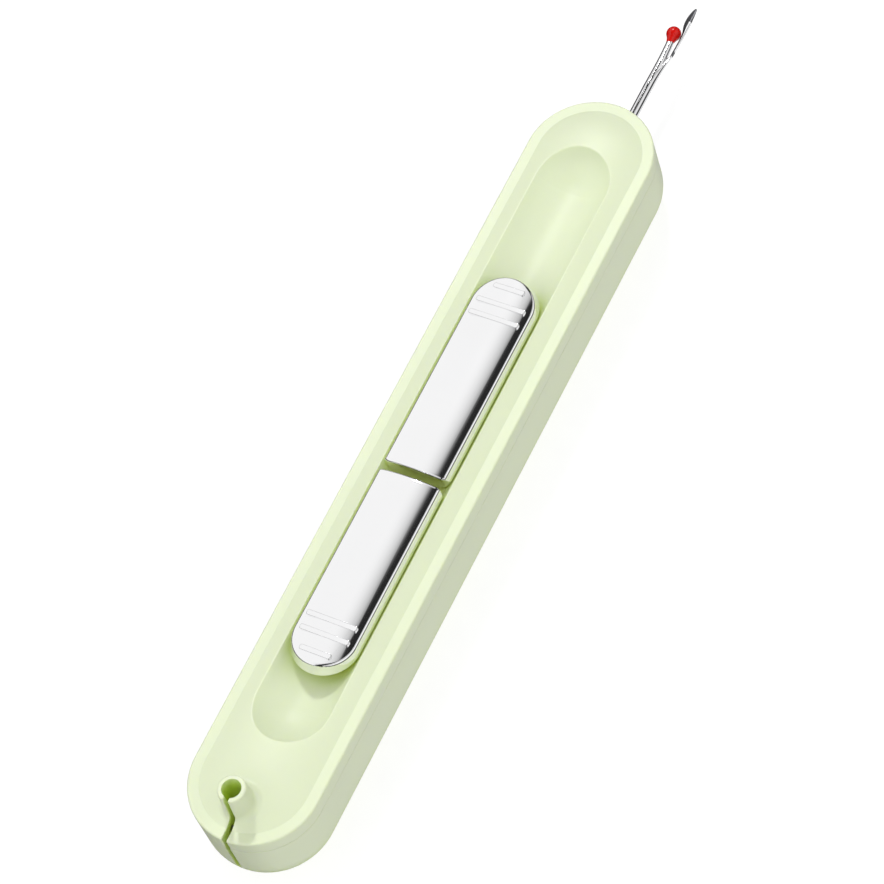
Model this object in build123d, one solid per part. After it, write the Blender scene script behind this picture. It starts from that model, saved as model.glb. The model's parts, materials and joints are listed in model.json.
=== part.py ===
from build123d import *
import os
from math import radians, sqrt, tan

# Needle threader with a push-out seam ripper. All sizes in millimetres.
# +X runs along the body towards the ripper, +Y across it, +Z up from the table.
# The origin is the centre of the flat underside.

# ---- Body ----
BODY_LENGTH = 141.8
BODY_WIDTH = 22.0
RIM_Z = 15.5               # flat ledge around the top
BOTTOM_ROUND = 6.0
PARTING_Z = 12.7           # where the two shells meet
PARTING_GAP = 0.08
SEAM_ROUND = 0.08
WALL = 1.6
LEDGE_WIDTH = 1.75
LEDGE_ROUND = 0.35
CROWN_RADIUS = 22.0        # top crown, about the body's centre line
CROWN_RISE = 1.95          # height of the crown's ridge above the ledge
ROOF = 1.5
TONGUE_DEPTH = 1.1
TONGUE_WALL = 0.8
TONGUE_PLAY = 0.1

# ---- Scooped channel that the thumb plates run in ----
SCOOP_RADIUS = 7.8
SCOOP_FLOOR_Z = 13.15
SCOOP_WALL = 1.4
SCOOP_EDGE_ROUND = 0.25
SCOOP_BACK_X = -46.65      # centre of the round end on the needle side
SCOOP_FRONT_X = 53.6       # centre of the round end on the ripper side

# ---- Thumb plates ----
PLATE_WIDTH = 10.8         # at the crown's edges
PLATE_DRAFT = 19.0         # degrees that the sides and the round end lean out
PLATE_TOP_Z = 18.4
PLATE_SIDE_Z = 17.8        # where the crown meets the leaning sides
PLATE_CROWN = 25.5
PLATE_PLAY = 0.25          # between plate and channel
PLATE_SKIN = 1.5
PLATE_EDGE_ROUND = 0.5
PLATE_CORNER = 1.4
PLATE_FOOT_OUT = 0.65      # how far the foot stands out beyond the crown's edges
RIPPER_PLATE_X = (-3.9, 33.45)
THREADER_PLATE_X = (-40.6, -5.3)
GRIP_WIDTH = 0.9
GRIP_TOP_Z = PLATE_TOP_Z + 0.16
GRIP_ROOT_Z = PLATE_TOP_Z - 1.0
GRIP_CORNER = 0.3
GRIP_EDGE_ROUND = 0.14
GRIP_FROM_TIP = ((2.35, 5.6), (5.5, 8.8), (8.1, 9.0))   # distance from the round end, length
PLATE_POCKET_INSET = 1.3
PLATE_POCKET_CORNER = 0.4
PLATE_POCKET_TOP_Z = PLATE_TOP_Z - PLATE_SKIN - 0.3
PLATE_SEAT_HALF = 2.0
RIPPER_TRAVEL = 25.0
THREADER_TRAVEL = 9.0

# ---- Drivers under the channel floor ----
DRIVER_Z = (10.15, 11.6)
STEM_LENGTH = 6.0
STEM_WIDTH = 2.2
STEM_INSET = 1.5           # from the plate's straight end to the stem
SLOT_PLAY = 0.3
STEM_TOP_Z = 15.2
PLATE_SCREW_RADIUS = 0.7
PLATE_SCREW_HEAD = 1.2
PLATE_SCREW_INSET = 1.4    # from the stem's ends
DRIVER_HALF = 4.0
RIPPER_DRIVER_END_X = 13.0
RIPPER_EAR_X = (1.0, 4.0)
LEG_X = (8.3, 10.7)        # fork legs that straddle the ripper's shaft line
LEG_Y = (0.95, 1.9)
LEG_FOOT_Z = 6.2
THREADER_DRIVER_END_X = -17.0
THREADER_EAR_X = (-12.0, -9.0)
THREADER_ARM_X = (-44.0, -16.9)
THREADER_ARM_HALF = 2.4
EAR_FOOT = (3.0, 7.3)      # reach across, at the driver and at the rod
EAR_ARM = (4.95, 7.3)
EAR_FOOT_TOP_Z = 11.1
EAR_TOP_Z = 12.5

# ---- Guide plate ----
GUIDE_Z = (9.0, 10.0)
GUIDE_X = (-56.0, 57.5)
GUIDE_HALF = 8.5
GUIDE_SLOT_HALF = 2.2
GUIDE_SLOT_X = (6.4, 46.0)
GUIDE_CORNER = 3.0
GUIDE_SCREW_RADIUS = 0.7
GUIDE_SCREW_HEAD = 1.4
GUIDE_SCREW_FOOT_Z = 4.4
GUIDE_POST_RADIUS = 1.8
GUIDE_SCREWS = ((50.0, -6.6), (3.0, -6.6), (-36.0, 6.6), (-50.0, -6.6))

# ---- Rods and springs ----
ROD_RADIUS = 0.6
ROD_Y = 6.0
ROD_Z = 11.5
RIPPER_ROD_X = (-2.4, 56.0)
THREADER_ROD_X = (-34.4, -6.0)
TAB = 1.0
TAB_TOP_Z = 12.6
SPRING_END_PLAY = 0.1
SPRING_OUTER = 1.15
SPRING_WIRE = 0.3
PULL_SPRING_OUTER = 1.3
PULL_SPRING_Y = 5.6
PULL_SPRING_ANCHOR_X = -28.0
PULL_SPRING_POST_RADIUS = 1.1
PULL_SPRING_END_X = 37.9

# ---- Ripper ----
RIPPER_Z = 7.2
CARRIAGE_X = (36.0, 58.0)
CARRIAGE_Z = (5.0, 8.75)
CARRIAGE_HALF = 3.5
KEY_X = (39.0, 44.5)       # key that runs in the guide plate's slot
KEY_HALF = 1.9
LUG_X = (38.0, 41.0)       # lug for the pull spring
LUG_REACH = 6.9
LUG_HALF = 0.85
NOTCH_X = (33.0, 37.6)     # notch behind the latch leaf's nose
NOTCH_Y = (-6.0, -2.4)
SHAFT_RADIUS = 0.82
SHAFT_FLAT = 0.55          # height of the clamping flat above the shaft's axis
SHAFT_BACK_X = 47.0
CLAMP_X = 53.0
CLAMP_RADIUS = 0.8
FORK_X = 83.0
PRONG_RADIUS = 0.6
PRONG_BEND = (87.5, 0.09)  # the prong's middle
BALL_CENTRE = (91.7, 0.40)
BALL_RADIUS = 1.29
BALL_TAIL_X = 89.7         # where the ball's coat starts on the prong
BALL_TAIL_GAP = 0.7        # from the tail's wide end to the ball's centre
TIP = (97.6, -1.15)
BLADE_THICK = 1.0
EDGE_THICK = 0.12
POINT_BEVEL_X = 94.6       # where the blade starts to thin towards its point

# ---- Ripper's way out, oval ----
EXIT_HALF_WIDTH = 2.95
EXIT_HALF_HEIGHT = 2.2
BUSH_PLAY = 0.02
BUSH_PROUD = 2.0
BUSH_LENGTH = 5.6
BUSH_FLANGE = (7.6, 5.2)
BUSH_FLANGE_THICK = 1.0
BUSH_BORE = (4.6, 3.2)
BUSH_ROUND = 0.35

# ---- Latch leaf ----
LEAF_X = (14.0, 37.2)
LEAF_Y = (-5.6, -5.3)
LEAF_Z = (5.75, 7.55)
LEAF_NOSE = ((33.6, -5.35), (35.7, -3.9), (35.7, -2.9), (36.0, -2.9), (36.0, -5.35))
LEAF_POST_X = (13.6, 21.4)
LEAF_POST_Y = (-7.6, -5.6)
LEAF_POST_TOP_Z = 7.6
RIVET_X = 17.5
RIVET_Z = 6.65
RIVET_RADIUS = 0.5
RIVET_HEAD = 0.9

# ---- Ribs in the lower shell ----
RIB_FOOT_Z = 1.2
RAIL_X = (8.0, 60.0)
RAIL_Y = (3.7, 4.7)
RAIL_TOP_Z = 5.6
BEARER_X = (9.0, 59.5)
BEARER_Y = (1.6, 2.8)
CROSS_RIB_X = (-57.0, -52.0)
CROSS_RIB_Y = (2.0, 9.6)
END_RIB_X = (57.9, 59.0)
END_RIB_Y = (5.0, 9.6)
END_LEDGE_X = (54.6, 59.0)
END_LEDGE_Y = (7.0, 9.6)
END_LEDGE_Z = 7.6
WELL_RIB_X = (-67.4, -61.4)
WELL_RIB_HALF = 2.3
WELL_STOP_X = (-60.9, -59.9)
WELL_STOP_HALF = 2.6
WELL_STOP_TOP_Z = 8.6

# ---- Needle end ----
WELL_X = -64.65
WELL_RADIUS = 1.6
TOWER_TOP_Z = 22.0
TOWER_TOP_RADIUS = 2.3
TOWER_BASE_RADIUS = 2.85
TOWER_FILLET = 1.2
SLIT_WIDTH = 0.9
SLIT_ROUND = 0.2
SLIT_BOTTOM_Z = 5.2
GUIDE_BLOCK_Z = (6.5, 12.5)
GUIDE_BORE = 0.75
GUIDE_BORE_BOTTOM_Z = 8.4
GUIDE_BLOCK_X = (-67.5, -61.2)
GUIDE_BLOCK_HALF = 2.5
GUIDE_BLOCK_SLIT_Z = 9.2
HOOK_SLOT_HALF = 0.3
HOOK_SLOT_HEIGHT = 1.3
HOOK_Z = 10.65
HOOK_HEIGHT = 0.8
HOOK_THICK = 0.3
HOOK_TIP_X = -62.4
HOOK_BACK_X = -38.0
HOOK_NECK_X = (-57.5, -60.0)
HOOK_TIP_HALF = 0.22
PIN_X = -41.0
PIN_RADIUS = 0.18
PIN_SLEEVE = 0.4

# ---- Shell screws ----
BOSS_X = 61.5
BOSS_Y = 5.6
BOSS_JOIN_Z = 7.8
BOSS_RADIUS = 2.2
SCREW_RADIUS = 1.0
SCREW_HEAD_RADIUS = 1.9
SCREW_HEAD_Z = (1.5, 2.95)
SCREW_SEAT_Z = 3.0
CROSS_HALF = (1.1, 0.22)
CROSS_TOP_Z = 2.1

END_X = (BODY_LENGTH - BODY_WIDTH) / 2
CROWN_Z = RIM_Z + CROWN_RISE - CROWN_RADIUS
SCOOP_Z = SCOOP_FLOOR_Z + SCOOP_RADIUS
INNER_HALF = BODY_WIDTH / 2 - WALL


def pill(half_width, low, high):
    """Upright prism with the body's plan shape at the given half width."""
    face = SlotOverall(2 * (END_X + half_width), 2 * half_width)
    return Pos(0, 0, low) * extrude(face, amount=high - low)


def capsule(radius, back_x, front_x, height):
    """Lying rod with ball ends, its axis along X."""
    k = radius / sqrt(2)
    edge = [
        Line((back_x - radius, 0), (front_x + radius, 0)),
        ThreePointArc((front_x + radius, 0), (front_x + k, k), (front_x, radius)),
        Line((front_x, radius), (back_x, radius)),
        ThreePointArc((back_x, radius), (back_x - k, k), (back_x - radius, 0)),
    ]
    return Pos(0, 0, height) * revolve(make_face(edge), Axis.X, 360)


def block(x, y, z):
    """Box between the given (low, high) pairs."""
    size = (x[1] - x[0], y[1] - y[0], z[1] - z[0])
    return Pos((x[0] + x[1]) / 2, (y[0] + y[1]) / 2, (z[0] + z[1]) / 2) * Box(*size)


def mirrored(y, side):
    """The (low, high) pair y, on the side of +Y or of -Y."""
    return sorted((side * y[0], side * y[1]))


def post(x, y, radius, low, high):
    """Upright round pin."""
    return Pos(x, y, (low + high) / 2) * Cylinder(radius, high - low)


def lying(radius, x, y, z):
    """Round rod along X between the pair x."""
    rod = Rot(0, 90, 0) * Cylinder(radius, x[1] - x[0])
    return Pos((x[0] + x[1]) / 2, y, z) * rod


def cross_pin(x, y, z, radius, length):
    """Round pin along Y about the given centre."""
    return Pos(x, y, z) * Rot(90, 0, 0) * Cylinder(radius, length)


def write(node, solid):
    solid.label = node
    export_step(solid, "parts/" + node + ".step")


def crown(radius, half_width, low):
    """Solid under a crown of the given radius that follows the body's centre line."""
    return pill(half_width, low, RIM_Z + 4) & capsule(radius, -END_X, END_X, CROWN_Z)


def slit():
    """Thread slit from the needle well out through the end wall."""
    half = SLIT_WIDTH / 2
    low = SLIT_BOTTOM_Z + half
    cut = block((-BODY_LENGTH / 2 - 2, WELL_X), (-half, half), (low, TOWER_TOP_Z + 2))
    foot = lying(half, (-BODY_LENGTH / 2 - 2, WELL_X), 0, low)
    return cut + foot


# ---- Shells ----

def stem_slot(plate_x, travel, towards):
    """Slot in the channel floor for a driver's stem."""
    if towards > 0:
        low = plate_x[0] + STEM_INSET - SLOT_PLAY
        high = plate_x[0] + STEM_INSET + STEM_LENGTH + travel + SLOT_PLAY
    else:
        low = plate_x[1] - STEM_INSET - STEM_LENGTH - travel - SLOT_PLAY
        high = plate_x[1] - STEM_INSET + SLOT_PLAY
    width = STEM_WIDTH + 2 * SLOT_PLAY
    face = SlotOverall(high - low, width)
    return Pos((low + high) / 2, 0, SCOOP_FLOOR_Z - 3) * extrude(face, amount=6)


def tower():
    """Chimney around the needle well."""
    height = TOWER_TOP_Z - PARTING_Z - 1
    cone = Cone(TOWER_BASE_RADIUS, TOWER_TOP_RADIUS, height)
    return Pos(WELL_X, 0, TOWER_TOP_Z - height / 2) * cone


def upper_shell():
    rim = pill(BODY_WIDTH / 2, PARTING_Z, RIM_Z)
    rim = fillet(rim.edges().group_by(Axis.Z)[-1], LEDGE_ROUND)
    dome = crown(CROWN_RADIUS, BODY_WIDTH / 2 - LEDGE_WIDTH, PARTING_Z)
    shell = rim + dome + tower()
    top = [e for e in shell.edges() if e.bounding_box().min.Z > TOWER_TOP_Z - 0.1]
    shell = fillet(top, 0.3)
    foot = [e for e in shell.edges() if is_tower_foot(e)]
    shell = fillet(foot, TOWER_FILLET)
    hollow = crown(CROWN_RADIUS - ROOF, INNER_HALF, PARTING_Z - 1)
    trough = capsule(SCOOP_RADIUS + SCOOP_WALL, SCOOP_BACK_X, SCOOP_FRONT_X, SCOOP_Z)
    trough = trough & crown(CROWN_RADIUS - ROOF / 2, INNER_HALF - 0.3, SCOOP_FLOOR_Z - 4)
    shell = shell - hollow + trough
    for x in (-BOSS_X, BOSS_X):
        for y in (-BOSS_Y, BOSS_Y):
            shell += post(x, y, BOSS_RADIUS, BOSS_JOIN_Z + 0.1, RIM_Z - 0.2)
    shell += post(WELL_X, 0, TOWER_BASE_RADIUS, GUIDE_BLOCK_Z[1] + 0.1, RIM_Z)
    shell += tongue()
    shell -= capsule(SCOOP_RADIUS, SCOOP_BACK_X, SCOOP_FRONT_X, SCOOP_Z)
    shell -= stem_slot(RIPPER_PLATE_X, RIPPER_TRAVEL, 1)
    shell -= stem_slot(THREADER_PLATE_X, THREADER_TRAVEL, -1)
    shell -= post(WELL_X, 0, WELL_RADIUS, PARTING_Z - 4, TOWER_TOP_Z + 1)
    shell -= slit()
    for x in (-BOSS_X, BOSS_X):
        for y in (-BOSS_Y, BOSS_Y):
            shell -= post(x, y, SCREW_RADIUS + 0.02, BOSS_JOIN_Z - 1, RIM_Z - 1.6)
    shell = fillet([e for e in shell.edges() if is_scoop_edge(e)], SCOOP_EDGE_ROUND)
    shell = fillet([e for e in shell.edges() if is_slit_edge(e)], SLIT_ROUND)
    return fillet([e for e in shell.edges() if is_seam_edge(e)], SEAM_ROUND)


def is_scoop_edge(edge):
    """True for the edges where the scoop cuts the crown."""
    box = edge.bounding_box()
    reach = SCOOP_RADIUS
    inside_x = box.min.X > SCOOP_BACK_X - reach and box.max.X < SCOOP_FRONT_X + reach
    inside_y = box.min.Y > -reach and box.max.Y < reach
    high = box.min.Z > RIM_Z and box.max.Z < RIM_Z + CROWN_RISE + 0.2
    return inside_x and inside_y and high


def is_slit_edge(edge):
    """True for the slit's edges on the upper shell's outer skin."""
    box = edge.bounding_box()
    half = SLIT_WIDTH / 2
    flat = box.max.Y - box.min.Y < 0.01 and abs(abs(box.min.Y) - half) < 0.01
    wall = box.max.X < -BODY_LENGTH / 2 + 0.1
    roof = box.min.Z > RIM_Z - LEDGE_ROUND - 0.05 and box.max.X < WELL_X - WELL_RADIUS - 0.1
    long_enough = edge.length > 0.2
    return flat and long_enough and box.max.Z > PARTING_Z + 0.2 and (wall or roof)


def is_seam_edge(edge):
    """True for the upper shell's long outer edges at the parting height."""
    box = edge.bounding_box()
    level = abs(box.min.Z - PARTING_Z) < 0.01 and abs(box.max.Z - PARTING_Z) < 0.01
    outer = abs(max(abs(box.min.Y), abs(box.max.Y)) - BODY_WIDTH / 2) < 0.01
    return level and outer


def is_tower_foot(edge):
    """True for the edges where the chimney meets the crown and the ledge."""
    box = edge.bounding_box()
    reach = TOWER_BASE_RADIUS + 0.2
    near_x = box.min.X > WELL_X - reach and box.max.X < WELL_X + reach
    near_y = box.min.Y > -reach and box.max.Y < reach
    over = box.min.Z > RIM_Z - 0.5 and box.max.Z < TOWER_TOP_Z - 2
    low_start = box.min.Z < RIM_Z + CROWN_RISE + 0.2
    return near_x and near_y and over and low_start


def tongue():
    """Register ring that drops inside the lower shell's wall."""
    out = INNER_HALF - TONGUE_PLAY
    ring = pill(out, PARTING_Z - TONGUE_DEPTH, PARTING_Z + 0.8)
    ring += pill(INNER_HALF + 0.1, PARTING_Z + 0.1, PARTING_Z + 0.8)
    ring -= pill(out - TONGUE_WALL, PARTING_Z - TONGUE_DEPTH - 1, PARTING_Z + 2)
    return ring


def lower_shell():
    top = PARTING_Z - PARTING_GAP
    shell = pill(BODY_WIDTH / 2, 0, top)
    shell = fillet(shell.edges().group_by(Axis.Z)[0], BOTTOM_ROUND)
    shell = fillet(shell.edges().group_by(Axis.Z)[-1], SEAM_ROUND)
    hollow = pill(INNER_HALF, WALL, top + 1)
    hollow = fillet(hollow.edges().group_by(Axis.Z)[0], BOTTOM_ROUND - WALL)
    shell -= hollow
    inside = pill(INNER_HALF + 0.4, 1.0, top - TONGUE_DEPTH - 0.2)
    inside = fillet(inside.edges().group_by(Axis.Z)[0], BOTTOM_ROUND - 1.2)
    ribs = []
    for side in (-1, 1):
        ribs.append(block(RAIL_X, mirrored(RAIL_Y, side), (RIB_FOOT_Z, RAIL_TOP_Z)))
        ribs.append(block(BEARER_X, mirrored(BEARER_Y, side), (RIB_FOOT_Z, CARRIAGE_Z[0] - 0.1)))
        ribs.append(block(CROSS_RIB_X, mirrored(CROSS_RIB_Y, side), (RIB_FOOT_Z, GUIDE_Z[0])))
    ribs.append(block(END_RIB_X, END_RIB_Y, (RIB_FOOT_Z, GUIDE_Z[0])))
    ribs.append(block(END_LEDGE_X, END_LEDGE_Y, (END_LEDGE_Z, GUIDE_Z[0])))
    ribs.append(block(WELL_RIB_X, (-WELL_RIB_HALF, WELL_RIB_HALF), (RIB_FOOT_Z, GUIDE_BLOCK_Z[0] - 0.02)))
    ribs.append(block(WELL_STOP_X, (-WELL_STOP_HALF, WELL_STOP_HALF), (RIB_FOOT_Z, WELL_STOP_TOP_Z)))
    for rib in ribs:
        shell += rib & inside
    for x in (-BOSS_X, BOSS_X):
        for y in (-BOSS_Y, BOSS_Y):
            shell += post(x, y, SCREW_HEAD_RADIUS + 1.0, 1.0, BOSS_JOIN_Z) & inside
    for x, y in GUIDE_SCREWS:
        shell += post(x, y, GUIDE_POST_RADIUS, 1.0, GUIDE_Z[0]) & inside
    hitch_x = PULL_SPRING_ANCHOR_X - PULL_SPRING_POST_RADIUS - 0.1
    shell += post(hitch_x, PULL_SPRING_Y, PULL_SPRING_POST_RADIUS, 1.0, RIPPER_Z + 1.5) & inside
    shell += block(LEAF_POST_X, LEAF_POST_Y, (RIB_FOOT_Z, LEAF_POST_TOP_Z)) & inside
    for x in (-BOSS_X, BOSS_X):
        for y in (-BOSS_Y, BOSS_Y):
            shell -= post(x, y, SCREW_RADIUS + 0.15, -1, BOSS_JOIN_Z + 1)
            shell -= post(x, y, SCREW_HEAD_RADIUS + 0.2, -1, SCREW_SEAT_Z)
    for x, y in GUIDE_SCREWS:
        shell -= post(x, y, GUIDE_SCREW_RADIUS + 0.02, GUIDE_SCREW_FOOT_Z - 0.4, GUIDE_Z[0] + 1)
    shell -= cross_pin(RIVET_X, -6.5, RIVET_Z, RIVET_RADIUS, 2.4)
    shell -= exit_opening()
    shell -= slit()
    return shell


def exit_opening():
    """Oval way out for the ripper in the end wall."""
    face = SlotOverall(2 * EXIT_HALF_WIDTH, 2 * EXIT_HALF_HEIGHT)
    hole = extrude(Plane.YZ * face, amount=14)
    return Pos(BODY_LENGTH / 2 - 7, 0, RIPPER_Z) * hole


def exit_bush():
    """Oval guide pressed into the end wall, flanged inside it."""
    face = BODY_LENGTH / 2 + BUSH_PROUD
    width = 2 * (EXIT_HALF_WIDTH - BUSH_PLAY)
    height = 2 * (EXIT_HALF_HEIGHT - BUSH_PLAY)
    collar = extrude(Plane.YZ * SlotOverall(width, height), amount=BUSH_LENGTH)
    flange = extrude(Plane.YZ * SlotOverall(*BUSH_FLANGE), amount=BUSH_FLANGE_THICK)
    bush = Pos(face - BUSH_LENGTH, 0, RIPPER_Z) * collar
    bush = fillet(bush.edges().group_by(Axis.X)[-1], BUSH_ROUND)
    bush += Pos(BODY_LENGTH / 2 - WALL - 2.4, 0, RIPPER_Z) * flange
    bore = extrude(Plane.YZ * SlotOverall(*BUSH_BORE), amount=20)
    return bush - Pos(face - 10, 0, RIPPER_Z) * bore


def shell_screws():
    screws = []
    for x in (-BOSS_X, BOSS_X):
        for y in (-BOSS_Y, BOSS_Y):
            screw = post(x, y, SCREW_RADIUS, SCREW_HEAD_Z[1] - 0.05, RIM_Z - 1.9)
            head = post(x, y, SCREW_HEAD_RADIUS, *SCREW_HEAD_Z)
            head = fillet(head.edges().group_by(Axis.Z)[0], 0.4)
            for along, across in (CROSS_HALF, CROSS_HALF[::-1]):
                head -= block((x - along, x + along), (y - across, y + across), (1.0, CROSS_TOP_Z))
            screws.append(screw + head)
    return Compound(children=screws)


# ---- Thumb plates and drivers ----

def plate_outline(x, towards, inset, corner):
    """Plan of a thumb plate's foot: round at its far end, straight at the gap."""
    half = PLATE_WIDTH / 2 + PLATE_FOOT_OUT - inset
    reach = PLATE_FOOT_OUT - inset
    tip = x[1] + reach if towards > 0 else x[0] - reach
    root = x[0] + inset if towards > 0 else x[1] - inset
    centre = tip - towards * half
    edge = [
        Line((root, -half), (centre, -half)),
        ThreePointArc((centre, -half), (tip, 0), (centre, half)),
        Line((centre, half), (root, half)),
        Line((root, half), (root, -half)),
    ]
    face = make_face(edge)
    corners = [v for v in face.vertices() if abs(v.X - root) < 0.01]
    return fillet(corners, corner)


def leaning_prism(x, towards, low, tall):
    """Prism whose sides and round end lean out towards its foot; it runs on past the plate's straight end."""
    out = (PLATE_SIDE_Z - low) * tan(radians(PLATE_DRAFT))
    width = PLATE_WIDTH + 2 * out
    length = x[1] - x[0] + 2 * out + 2 * PLATE_WIDTH
    tip = x[1] + out if towards > 0 else x[0] - out
    prism = extrude(SlotOverall(length, width), amount=tall, taper=PLATE_DRAFT)
    return Pos(tip - towards * length / 2, 0, low) * prism


def plate_blank(x, towards):
    """Plate body between its crowned top and the channel."""
    low = SCOOP_FLOOR_Z - 1
    tall = PLATE_TOP_Z - low + 1
    blank = Pos(0, 0, low) * extrude(plate_outline(x, towards, 0, PLATE_CORNER), amount=tall)
    blank &= leaning_prism(x, towards, low, tall)
    blank &= lying(PLATE_CROWN, (x[0] - PLATE_WIDTH, x[1] + PLATE_WIDTH), 0, PLATE_TOP_Z - PLATE_CROWN)
    return fillet(top_edges(blank), PLATE_EDGE_ROUND)


def top_edges(blank):
    """Edges around the crowned top."""
    return [e for e in blank.edges() if e.bounding_box().min.Z > PLATE_TOP_Z - 0.7]


def thumb_plate(x, towards):
    blank = plate_blank(x, towards)
    tip = x[1] if towards > 0 else x[0]
    ball = tip - towards * PLATE_WIDTH / 2
    far = x[0] - 20 if towards > 0 else x[1] + 20
    ends = (far, ball) if towards > 0 else (ball, far)
    blank &= capsule(SCOOP_RADIUS - PLATE_PLAY, ends[0], ends[1], SCOOP_Z)
    low = SCOOP_FLOOR_Z - 1
    pocket = extrude(plate_outline(x, towards, PLATE_POCKET_INSET, PLATE_POCKET_CORNER),
                     amount=PLATE_POCKET_TOP_Z - low)
    plate = blank - Pos(0, 0, low) * pocket
    seat_x = [end + out for end, out in zip(stem_span(x, towards), (-0.1, 0.1))]
    seat = block(seat_x, (-PLATE_SEAT_HALF, PLATE_SEAT_HALF), (STEM_TOP_Z, PLATE_POCKET_TOP_Z + 0.2))
    plate += seat & blank
    for back, length in GRIP_FROM_TIP:
        plate += Pos(tip - towards * back, 0, 0) * grip_bar(length)
    for x_screw in screw_places(x, towards):
        plate -= post(x_screw, 0, PLATE_SCREW_RADIUS + 0.02, STEM_TOP_Z - 0.5, PLATE_TOP_Z - 0.7)
    return plate


def grip_bar(length):
    """Flat-topped bar across the plate, its foot sunk in the crown."""
    bar = Pos(0, 0, GRIP_ROOT_Z) * extrude(RectangleRounded(GRIP_WIDTH, length, GRIP_CORNER),
                                           amount=GRIP_TOP_Z - GRIP_ROOT_Z)
    return fillet(bar.edges().group_by(Axis.Z)[-1], GRIP_EDGE_ROUND)


def stem_span(x, towards):
    if towards > 0:
        return (x[0] + STEM_INSET, x[0] + STEM_INSET + STEM_LENGTH)
    return (x[1] - STEM_INSET - STEM_LENGTH, x[1] - STEM_INSET)


def screw_places(x, towards):
    low, high = stem_span(x, towards)
    return (low + PLATE_SCREW_INSET, high - PLATE_SCREW_INSET)


def stem(x, towards):
    """Upright stem through the channel floor."""
    low, high = stem_span(x, towards)
    face = SlotOverall(high - low, STEM_WIDTH)
    up = STEM_TOP_Z - DRIVER_Z[0]
    return Pos((low + high) / 2, 0, DRIVER_Z[0]) * extrude(face, amount=up)


def ear(x, side):
    """Side arm with a hole that runs on the guide rod."""
    foot = block(x, mirrored(EAR_FOOT, side), (DRIVER_Z[0], EAR_FOOT_TOP_Z))
    arm = block(x, mirrored(EAR_ARM, side), (DRIVER_Z[0], EAR_TOP_Z))
    return foot + arm - lying(ROD_RADIUS + 0.08, (x[0] - 1, x[1] + 1), side * ROD_Y, ROD_Z)


def screw_holes(x, towards):
    holes = []
    for place in screw_places(x, towards):
        holes.append(post(place, 0, PLATE_SCREW_RADIUS + 0.05, 5, STEM_TOP_Z + 1))
        holes.append(post(place, 0, PLATE_SCREW_HEAD + 0.05, 5, DRIVER_Z[0] + 1.3))
    return holes


def ripper_driver():
    x = RIPPER_PLATE_X
    low = stem_span(x, 1)[0]
    slide = block((low, RIPPER_DRIVER_END_X), (-DRIVER_HALF, DRIVER_HALF), DRIVER_Z)
    driver = slide + stem(x, 1) + ear(RIPPER_EAR_X, 1)
    for side in (-1, 1):
        driver += block(LEG_X, mirrored(LEG_Y, side), (LEG_FOOT_Z, DRIVER_Z[0] + 0.1))
    for hole in screw_holes(x, 1):
        driver -= hole
    return driver


def threader_driver():
    x = THREADER_PLATE_X
    high = stem_span(x, -1)[1]
    slide = block((THREADER_DRIVER_END_X, high), (-DRIVER_HALF, DRIVER_HALF), DRIVER_Z)
    arm = block(THREADER_ARM_X, (-THREADER_ARM_HALF, THREADER_ARM_HALF), DRIVER_Z)
    driver = slide + arm + stem(x, -1) + ear(THREADER_EAR_X, -1)
    half = HOOK_THICK / 2 + 0.04
    driver -= block((THREADER_ARM_X[0] - 1, HOOK_BACK_X + 0.4), (-half, half), (9, 12))
    driver -= cross_pin(PIN_X, 0, HOOK_Z, PIN_SLEEVE + 0.02, 6)
    for hole in screw_holes(x, -1):
        driver -= hole
    return driver


def plate_screws(x, towards):
    """Two small screws that hold a plate on its driver's stem."""
    screws = []
    for place in screw_places(x, towards):
        screw = post(place, 0, PLATE_SCREW_RADIUS, DRIVER_Z[0] + 1.2, PLATE_TOP_Z - 0.9)
        head = post(place, 0, PLATE_SCREW_HEAD, DRIVER_Z[0] + 0.3, DRIVER_Z[0] + 1.28)
        slot = block((place - 1.3, place + 1.3), (-0.15, 0.15), (9, DRIVER_Z[0] + 0.7))
        screws.append(screw + head - slot)
    return Compound(children=screws)


# ---- Guide plate, rods and springs ----

def guide_plate():
    length = GUIDE_X[1] - GUIDE_X[0]
    plate = Pos(sum(GUIDE_X) / 2, 0, sum(GUIDE_Z) / 2) * Box(length, 2 * GUIDE_HALF, 1.0)
    plate = fillet(plate.edges().filter_by(Axis.Z), GUIDE_CORNER)
    for span, side in ((RIPPER_ROD_X, 1), (THREADER_ROD_X, -1)):
        for x in (span[0], span[1] - TAB):
            tab = block((x, x + TAB), mirrored(EAR_ARM, side), (GUIDE_Z[0], TAB_TOP_Z))
            plate += tab - lying(ROD_RADIUS, (x - 1, x + 2), side * ROD_Y, ROD_Z)
    slot = SlotOverall(GUIDE_SLOT_X[1] - GUIDE_SLOT_X[0], 2 * GUIDE_SLOT_HALF)
    plate -= Pos(sum(GUIDE_SLOT_X) / 2, 0, 5) * extrude(slot, amount=8)
    for x, y in GUIDE_SCREWS:
        plate -= post(x, y, GUIDE_SCREW_RADIUS + 0.15, 5, 12)
    return plate


def guide_screws():
    screws = []
    for x, y in GUIDE_SCREWS:
        screw = post(x, y, GUIDE_SCREW_RADIUS, GUIDE_SCREW_FOOT_Z, GUIDE_Z[1] + 0.1)
        head = post(x, y, GUIDE_SCREW_HEAD, GUIDE_Z[1], GUIDE_Z[1] + 0.9)
        slot = block((x - 1.5, x + 1.5), (y - 0.17, y + 0.17), (GUIDE_Z[1] + 0.5, 12))
        screws.append(screw + head - slot)
    return Compound(children=screws)


def slider_rod(span, side):
    return lying(ROD_RADIUS - 0.01, span, side * ROD_Y, ROD_Z)


def coil_tube(outer, wire, x, y, z):
    """Plain tube in the place of a coil spring."""
    return lying(outer, x, y, z) - lying(outer - wire, (x[0] - 1, x[1] + 1), y, z)


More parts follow.
